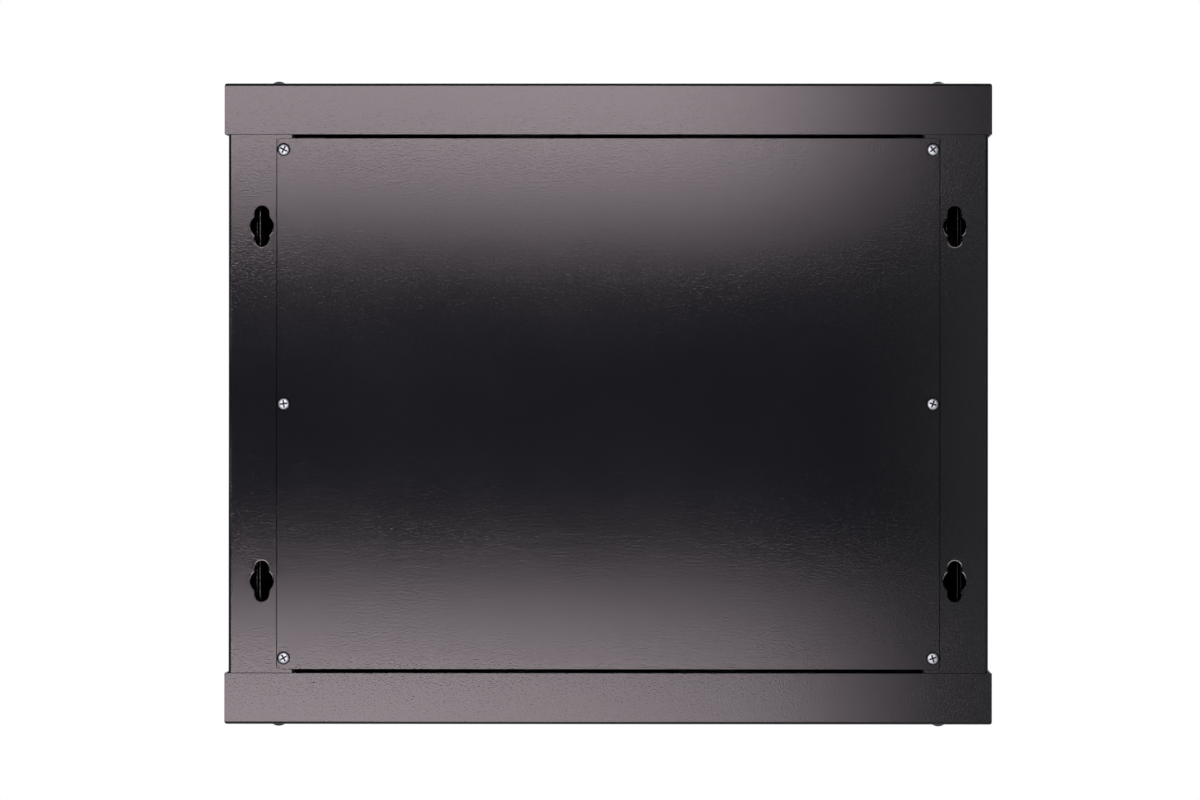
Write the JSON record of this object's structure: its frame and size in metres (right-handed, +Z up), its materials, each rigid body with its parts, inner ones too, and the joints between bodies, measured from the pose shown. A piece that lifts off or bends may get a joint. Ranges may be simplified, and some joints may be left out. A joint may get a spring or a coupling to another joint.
{
  "type": "wall mount network cabinet",
  "caption": "Wall-hung network cabinet with a glass front door, lift-off side panels, adjustable 19 inch rails and a screwed rear panel with keyholes beside it.",
  "frame": {"origin": "middle of the plane where the back of the cabinet meets the wall, half way up", "axes": "+Z up; +Y out of the back, into the wall; the door faces -Y; +X to the right as seen from the front"},
  "size_m": [0.6, 0.45, 0.5054],
  "materials": {
    "cabinet_paint": "fine textured satin black powder coat",
    "rail_paint": "smooth satin black paint",
    "black_bolt": "black finish, satin",
    "zinc_screw": "bright zinc plate",
    "hinge_steel": "zinc plate, satin",
    "spring_steel": "drawn spring wire",
    "lock_chrome": "polished",
    "lock_steel": "zinc plate",
    "door_glass": "clear tempered, slightly grey",
    "gasket_foam": "matt foam",
    "bumper_rubber": "matt"
  },
  "bodies": {
    "frame": {"top_cover": "cabinet_paint", "bottom_cover": "cabinet_paint", "rear_post_left": "cabinet_paint", "rear_post_right": "cabinet_paint", "front_post_left": "cabinet_paint", "front_post_right": "cabinet_paint", "front_top_rail": "cabinet_paint", "front_bottom_rail": "cabinet_paint", "upper_side_rail_left": "cabinet_paint", "upper_side_rail_right": "cabinet_paint", "lower_side_rail_left": "cabinet_paint", "lower_side_rail_right": "cabinet_paint", "rear_panel": "cabinet_paint", "rear_panel_screws": "zinc_screw", "cover_bolts_top": "black_bolt", "cover_bolts_bottom": "black_bolt", "hinge_brackets": "cabinet_paint", "door_bumpers": "bumper_rubber", "frame_earth_stud": "zinc_screw", "top_entry_guides": "cabinet_paint", "bottom_entry_guides": "cabinet_paint"},
    "door": {"door_frame": "cabinet_paint", "door_glass": "door_glass", "glass_gasket": "gasket_foam", "hinge_carriers": "cabinet_paint", "door_lock_body": "lock_chrome", "door_earth_stud": "zinc_screw", "upper_hinge_spring": "spring_steel", "lower_hinge_spring": "spring_steel"},
    "upper_pin": {"upper_hinge_pin": "hinge_steel"},
    "lower_pin": {"lower_hinge_pin": "hinge_steel"},
    "door_lock": {"door_lock_plug": "lock_chrome", "door_lock_cam": "lock_steel"},
    "top_plate": {"top_entry_plate": "cabinet_paint"},
    "bottom_plate": {"bottom_entry_plate": "cabinet_paint"},
    "side_left": {"side_panel_left": "cabinet_paint", "side_lock_body_left": "lock_chrome"},
    "side_lock_left": {"side_lock_plug_left": "lock_chrome", "side_lock_cam_left": "lock_steel"},
    "side_right": {"side_panel_right": "cabinet_paint", "side_lock_body_right": "lock_chrome"},
    "side_lock_right": {"side_lock_plug_right": "lock_chrome", "side_lock_cam_right": "lock_steel"},
    "front_rack_left": {"front_rack_rail_left": "rail_paint", "front_rack_bolts_left": "zinc_screw"},
    "front_rack_right": {"front_rack_rail_right": "rail_paint", "front_rack_bolts_right": "zinc_screw"},
    "rear_rack_left": {"rear_rack_rail_left": "rail_paint", "rear_rack_bolts_left": "zinc_screw"},
    "rear_rack_right": {"rear_rack_rail_right": "rail_paint", "rear_rack_bolts_right": "zinc_screw"}
  },
  "joints": [
    {"name": "door_hinge", "type": "hinge", "parent": "frame", "child": "door", "pos_m": [-0.289, -0.44, 0], "axis": [0, 0, -1], "range_deg": [0, 180]},
    {"name": "upper_pin_slide", "type": "slide", "parent": "door", "child": "upper_pin", "axis": [0, 0, -1], "range_m": [0, 0.009], "stiffness_N_per_m": 400, "springref_m": -0.004, "deforming": ["upper_hinge_spring"]},
    {"name": "lower_pin_slide", "type": "slide", "parent": "door", "child": "lower_pin", "axis": [0, 0, 1], "range_m": [0, 0.009], "stiffness_N_per_m": 400, "springref_m": -0.004, "deforming": ["lower_hinge_spring"]},
    {"name": "door_lock_turn", "type": "hinge", "parent": "door", "child": "door_lock", "pos_m": [0.25, -0.44, 0], "axis": [0, -1, 0], "range_deg": [0, 90]},
    {"name": "side_panel_left_tilt", "type": "hinge", "parent": "frame", "child": "side_left", "pos_m": [-0.297, -0.2155, -0.2095], "axis": [0, -1, 0], "range_deg": [0, 30]},
    {"name": "side_lock_left_turn", "type": "hinge", "parent": "side_left", "child": "side_lock_left", "pos_m": [-0.29, -0.2155, 0.19], "axis": [-1, 0, 0], "range_deg": [0, 90]},
    {"name": "side_panel_right_tilt", "type": "hinge", "parent": "frame", "child": "side_right", "pos_m": [0.297, -0.2155, -0.2095], "axis": [0, 1, 0], "range_deg": [0, 30]},
    {"name": "side_lock_right_turn", "type": "hinge", "parent": "side_right", "child": "side_lock_right", "pos_m": [0.29, -0.2155, 0.19], "axis": [-1, 0, 0], "range_deg": [0, 90]},
    {"name": "front_rack_left_slide", "type": "slide", "parent": "frame", "child": "front_rack_left", "axis": [0, 1, 0], "range_m": [-0.02, 0.1]},
    {"name": "front_rack_right_slide", "type": "slide", "parent": "frame", "child": "front_rack_right", "axis": [0, 1, 0], "range_m": [-0.02, 0.1]},
    {"name": "rear_rack_left_slide", "type": "slide", "parent": "frame", "child": "rear_rack_left", "axis": [0, 1, 0], "range_m": [-0.11, 0.02]},
    {"name": "rear_rack_right_slide", "type": "slide", "parent": "frame", "child": "rear_rack_right", "axis": [0, 1, 0], "range_m": [-0.11, 0.02]},
    {"name": "top_plate_slide", "type": "slide", "parent": "frame", "child": "top_plate", "axis": [0, 1, 0], "range_m": [0, 0.06]},
    {"name": "bottom_plate_slide", "type": "slide", "parent": "frame", "child": "bottom_plate", "axis": [0, 1, 0], "range_m": [0, 0.06]}
  ]
}
